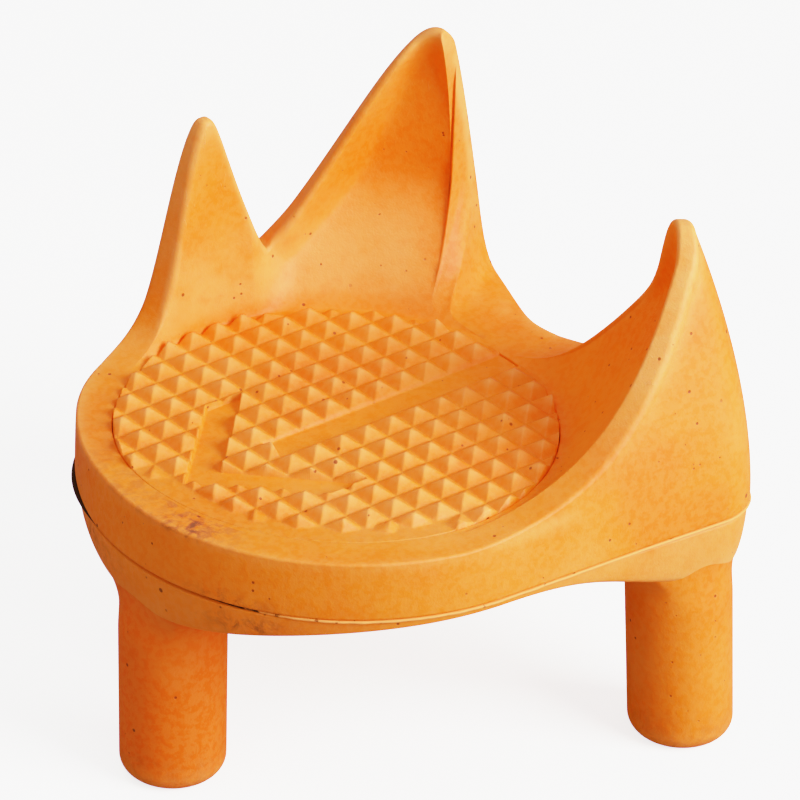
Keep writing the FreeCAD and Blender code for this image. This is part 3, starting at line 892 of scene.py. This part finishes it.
def seam_material(tee):
    """Make the bonding layer's finish: old dark adhesive where a mask says that the seam is open, and
    rubber elsewhere."""
    def base(graph):
        where = graph.add("ShaderNodeTexCoord").outputs["Object"]
        crumbs = graph.noise(where, 700.0, 4.0, 0.6)
        open_share = graph.total(mask(graph, "open"), (graph.math("SUBTRACT", crumbs, 0.5), 0.9))
        nicks = graph.times(graph.step(graph.noise(where, 460.0, 3.0, 0.6), 0.60, 0.66), 0.8)
        rubber = graph.blend(nicks, rgba(tee.colours.faded), rgba(tee.colours.speck))
        finish = graph.blend(graph.step(open_share, 0.35, 0.65), rubber, rgba(tee.colours.bond))
        bump = graph.add("ShaderNodeBump", {"Height": crumbs, "Strength": 0.6, "Distance": 0.0002})
        return {"Base Color": finish, "Roughness": 0.62, "Normal": bump.outputs[0], "Specular IOR Level": 0.35}

    return new_material("seam_bond", base)


# ---- operators

def crown_marks(tee, angle, radii, heights, crest, inner_rows):
    """Where the crown is worn, scuffed and dirty, and where light is painted, from 0 to 1: wear along the crests,
    the platform's rim and the tips, partly painted highlight on the crests and the rim; painted light at the foot
    of the hollow of the tall and left horns; scuffs on the crests and inside two horns; dirt on the front of the rim."""
    rise = heights - tee.body.platform
    edge = bell(rise, crest, 3.0 * MM) * smooth(crest, 4.0 * MM, 20.0 * MM)
    rim = bell(radii, tee.body.platform_radius, 1.2 * MM) * bell(rise, 0.0, 1.2 * MM)
    near_tip = smooth(rise, 0.45 * tallest(tee), 0.8 * tallest(tee))
    # Painted light: the foot of the hollow of the tall and left horns is painted paler through the wear mask.
    painted_light = bell(rise, 7.0 * MM, 9.0 * MM) * smooth(rise, 0.5 * MM, 3.0 * MM) * zone(angle, *PAINTED_LIGHT_ZONE)
    painted_light[inner_rows:] = 0.0
    # Wear along the crests and the rim is partly real wear and partly painted highlight.
    wear = (0.9 - 0.5 * bell(angle, 55.0, 12.0)) * edge + 0.6 * rim + 0.25 * near_tip + 0.85 * painted_light
    inside = smooth(rise, 14.0 * MM, 24.0 * MM) * (radii < wall_radius(tee, angle, 0.0) - 3.0 * MM)
    rub = 0.75 * edge + 0.5 * inside * (left_share(angle) + bell(turned(angle, 38.0), 0.0, 6.0))
    flat = bell(rise, 0.3 * MM, MM) * (radii > 36.0 * MM)
    dirt = flat * (bell(turned(angle, -165.0), 0.0, 9.0) + 0.35 * bell(turned(angle, 172.0), 0.0, 22.0))
    dirt = dirt + 0.6 * bell(rise, -8.6 * MM, 1.5 * MM) * bell(turned(angle, -152.0), 0.0, 10.0)
    return {"wear": wear, "rub": rub, "dirt": dirt}


class TEE_OT_crown(bpy.types.Operator):
    """Build the upper moulding with its three horns"""
    bl_idname = "tee.crown"
    bl_label = "Crown"

    def execute(self, context):
        tee = context.scene.tee
        angle = spread_angles(tee, tee.body.crown_columns)
        radii, heights, crest, inner_rows = crown_profile(tee, angle)
        points, faces = revolved(tee, radii, heights, angle)
        piece = new_piece("crown_shell", points, faces, rubber_material(tee, "crown_rubber"), "crown")
        for name, values in crown_marks(tee, angle, radii, heights, crest, inner_rows).items():
            paint(piece, name, np.append(values, [0.0, 0.0]))
        return {"FINISHED"}


class TEE_OT_tread(bpy.types.Operator):
    """Build the round seat with its pyramids and plain arrow"""
    bl_idname = "tee.tread"
    bl_label = "Tread"

    def execute(self, context):
        tee = context.scene.tee
        points, faces, flat = tread_mesh(tee)
        piece = new_piece("tread_pad", points, faces, rubber_material(tee, "tread_rubber"), "tread")
        rise = points[:, 2] - tee.body.platform
        paint(piece, "wear", smooth(rise, 0.5 * MM, pyramid(tee)) * 0.8)
        paint(piece, "rub", smooth(rise, 0.9 * MM, pyramid(tee)) * 0.6)
        paint(piece, "dirt", 0.10 * (1.0 - flat) * bell(rise, 0.0, 0.2 * MM))
        return {"FINISHED"}


class TEE_OT_bond(bpy.types.Operator):
    """Build the bonding layer between the two mouldings"""
    bl_idname = "tee.bond"
    bl_label = "Bonding Layer"

    def execute(self, context):
        tee = context.scene.tee
        points, faces, marks = bond_mesh(tee)
        piece = new_piece("bond_seam", points, faces, seam_material(tee), "bond_layer")
        paint(piece, "open", marks)
        return {"FINISHED"}


class TEE_OT_base(bpy.types.Operator):
    """Build the lower moulding's apron and underside"""
    bl_idname = "tee.base"
    bl_label = "Base"

    def execute(self, context):
        tee = context.scene.tee
        points, faces = base_mesh(tee)
        piece = new_piece("base_apron", points, faces, rubber_material(tee, "base_rubber"), "base")
        angle = direction(points[:, 0], points[:, 1])
        drop = BOND_Z - points[:, 2]
        # Painted light: the apron's side towards the key light is painted paler through the wear mask.
        painted_light_side = 1.0 - smooth(np.abs(turned(angle, -40.0)), 20.0, 60.0)
        paint(piece, "wear", 0.4 * bell(drop, 9.0 * MM, 2.0 * MM) + 0.2 + 0.4 * painted_light_side)
        places = 0.7 * bell(turned(angle, -150.0), 0.0, 9.0) + 0.5 * bell(turned(angle, 160.0), 0.0, 14.0)
        paint(piece, "dirt", bell(drop, 3.0 * MM, 2.5 * MM) * places)
        return {"FINISHED"}


class TEE_OT_legs(bpy.types.Operator):
    """Build the front leg and the two splayed rear legs"""
    bl_idname = "tee.legs"
    bl_label = "Legs"

    def execute(self, context):
        tee = context.scene.tee
        legs = tee.legs
        material = bpy.data.materials.get("base_rubber") or rubber_material(tee, "base_rubber")
        # The last number paints shade: the front leg is painted darkest, the rear legs a little, in the Deep colour.
        for name, x, y, splay, oil in (("leg_front", legs.front_x, legs.front_y, 0.0, 1.0),
                                       ("leg_right", legs.rear_x, -legs.rear_y, legs.splay, 0.2),
                                       ("leg_left", legs.rear_x, legs.rear_y, legs.splay, 0.35)):
            points, faces = leg_mesh(tee, x, y, splay)
            piece = new_piece(name, points, faces, material, "base")
            height = points[:, 2]
            paint(piece, "wear", 0.5 * bell(height, 1.0 * MM, 2.5 * MM))
            paint(piece, "rub", 0.4 * bell(height, 0.5 * MM, 2.0 * MM))
            # Painted shade, over the whole leg.
            paint(piece, "oil", np.full(len(height), oil))
            paint(piece, "dirt", 0.30 * bell(height, 0.0, 6.0 * MM))
        return {"FINISHED"}


def area_light(name, power, size, azimuth, elevation, distance, tint):
    """Add a square area light in a direction from the tee's middle, facing it."""
    data = bpy.data.lights.new(name, "AREA")
    data.energy, data.size, data.color = power, size, tint
    light = bpy.data.objects.new(name, data)
    bpy.context.scene.collection.objects.link(light)
    turn, lift = math.radians(azimuth), math.radians(elevation)
    way = Vector((math.cos(lift) * math.cos(turn), math.cos(lift) * math.sin(turn), math.sin(lift))) * distance
    light.location = Vector(LIGHT_MIDDLE) + way
    light.rotation_euler = (-way).to_track_quat("-Z", "Y").to_euler()


def bend_curve(curve, pairs):
    """Put points on a colour curve, the last of them at the end of its range."""
    curve.points[1].location = pairs[-1]
    for value, result in pairs[:-1]:
        curve.points.new(value, result)
    for point in curve.points:
        point.handle_type = "AUTO_CLAMPED"


def film_curve(settings):
    """Bend the light values as film does: every channel by top (1 - exp(-(x / knee)^power)), after a blue that
    lags in the shade and catches up in the light, and a red that is lifted in the shade."""
    settings.use_curve_mapping = True
    mapping = settings.curve_mapping
    mapping.use_clip = True
    mapping.clip_max_x, mapping.clip_max_y = CURVE_END, CURVE_END
    values = (0.01, 0.03, 0.06, 0.10, 0.15, 0.2, 0.27, 0.35, 0.45, 0.58, 0.75, 1.0, 1.4, 2.0)
    bend_curve(mapping.curves[3], [(value, FILM_TOP * (1.0 - math.exp(-(value / FILM_KNEE) ** FILM_POWER)))
                                   for value in values] + [(CURVE_END, 1.0)])
    bend_curve(mapping.curves[0], [(0.1, 0.13), (0.2, 0.265), (0.29, 0.375), (0.36, 0.455), (0.45, 0.535),
                                   (0.55, 0.615), (0.65, 0.69), (0.8, 0.8), (1.0, 1.0), (CURVE_END, CURVE_END)])
    bend_curve(mapping.curves[2], [(0.01, 0.0043), (0.02, 0.012), (0.035, 0.033), (0.06, 0.075), (0.09, 0.125),
                                   (0.13, 0.18), (0.25, 0.31), (0.5, 0.55), (0.9, 0.9), (CURVE_END, CURVE_END)])
    mapping.update()


def paper_inputs(graph, studio):
    """The floor's paper: near white and glowing a little to the camera, and grey to the light that bounces."""
    seen = graph.add("ShaderNodeLightPath").outputs["Is Camera Ray"]
    return {"Base Color": graph.blend(seen, (0.34, 0.33, 0.32, 1.0), (0.93, 0.93, 0.925, 1.0)),
            "Emission Color": graph.blend(seen, (0.0, 0.0, 0.0, 1.0), (1.0, 1.0, 1.0, 1.0)),
            "Emission Strength": studio.paper, "Roughness": 0.9, "Specular IOR Level": 0.1}


class TEE_OT_stage(bpy.types.Operator):
    """Build the floor, the lights, the surrounding light and the camera"""
    bl_idname = "tee.stage"
    bl_label = "Stage"

    def execute(self, context):
        studio = context.scene.tee.studio
        scene = context.scene
        mesh = bpy.data.meshes.new("studio_floor")
        mesh.from_pydata([(FLOOR_REACH * x, FLOOR_REACH * y, 0.0) for x, y in ((-1, -1), (1, -1), (1, 1), (-1, 1))],
                         [], [(0, 1, 2, 3)])
        floor = bpy.data.objects.new("studio_floor", mesh)
        scene.collection.objects.link(floor)
        mesh.materials.append(new_material("studio_paper", lambda graph: paper_inputs(graph, studio)))
        for name, place_and_tint in LIGHTS.items():
            area_light("studio_" + name, getattr(studio, name + "_power"), *place_and_tint)
        world = bpy.data.worlds.new("studio_world")
        world.use_nodes = True
        backdrop = world.node_tree.nodes["Background"]
        backdrop.inputs["Color"].default_value = (1.0, 1.0, 1.0, 1.0)
        backdrop.inputs["Strength"].default_value = studio.sky
        scene.world = world
        data = bpy.data.cameras.new("studio_camera")
        data.lens, data.sensor_width = studio.lens, SENSOR_WIDTH
        data.clip_start, data.clip_end = 0.05, 30.0
        camera = bpy.data.objects.new("studio_camera", data)
        scene.collection.objects.link(camera)
        way = Vector(studio.target) - Vector(studio.camera)
        turn = way.to_track_quat("-Z", "Y").to_matrix() @ Matrix.Rotation(math.radians(studio.roll), 3, "Z")
        camera.matrix_world = Matrix.Translation(Vector(studio.camera)) @ turn.to_4x4()
        scene.camera = camera
        scene.view_settings.view_transform = "Standard"
        film_curve(scene.view_settings)
        return {"FINISHED"}


# ---- settings on the scene, panel, running

class TeeSettings(bpy.types.PropertyGroup):
    """All settings of the tee."""
    body: PointerProperty(type=TeeBody)
    right: PointerProperty(type=TeeRightHorn)
    tall: PointerProperty(type=TeeTallHorn)
    left: PointerProperty(type=TeeLeftHorn)
    tread: PointerProperty(type=TeeTread)
    legs: PointerProperty(type=TeeLegs)
    colours: PointerProperty(type=TeeColours)
    studio: PointerProperty(type=TeeStudio)


class TEE_PT_panel(bpy.types.Panel):
    """Sizes and colours of the tee, and a button for each piece"""
    bl_idname = "TEE_PT_panel"
    bl_label = "Kicking Tee"
    bl_space_type = "VIEW_3D"
    bl_region_type = "UI"
    bl_category = "Kicking Tee"

    def draw(self, context):
        tee = context.scene.tee
        for title, part in (("Body", tee.body), ("Right horn", tee.right), ("Tall horn", tee.tall),
                            ("Left horn", tee.left), ("Tread", tee.tread), ("Legs", tee.legs),
                            ("Colours", tee.colours), ("Studio", tee.studio)):
            box = self.layout.box()
            box.label(text=title)
            for name in part.__annotations__:
                box.prop(part, name)
        for step in STEPS:
            self.layout.operator(step.bl_idname)


STEPS = (TEE_OT_crown, TEE_OT_tread, TEE_OT_bond, TEE_OT_base, TEE_OT_legs, TEE_OT_stage)
CLASSES = (TeeBody, TeeRightHorn, TeeTallHorn, TeeLeftHorn, TeeTread, TeeLegs, TeeColours, TeeStudio, TeeSettings,
           *STEPS, TEE_PT_panel)


def register():
    """Add the classes, and the settings to every scene."""
    for item in CLASSES:
        bpy.utils.register_class(item)
    bpy.types.Scene.tee = PointerProperty(type=TeeSettings)


def unregister():
    """Take the settings and the classes away again."""
    del bpy.types.Scene.tee
    for item in reversed(CLASSES):
        bpy.utils.unregister_class(item)


def main():
    """Build every piece and the stage."""
    register()
    for run in (bpy.ops.tee.crown, bpy.ops.tee.tread, bpy.ops.tee.bond, bpy.ops.tee.base, bpy.ops.tee.legs,
                bpy.ops.tee.stage):
        run()


if __name__ == "__main__":
    main()
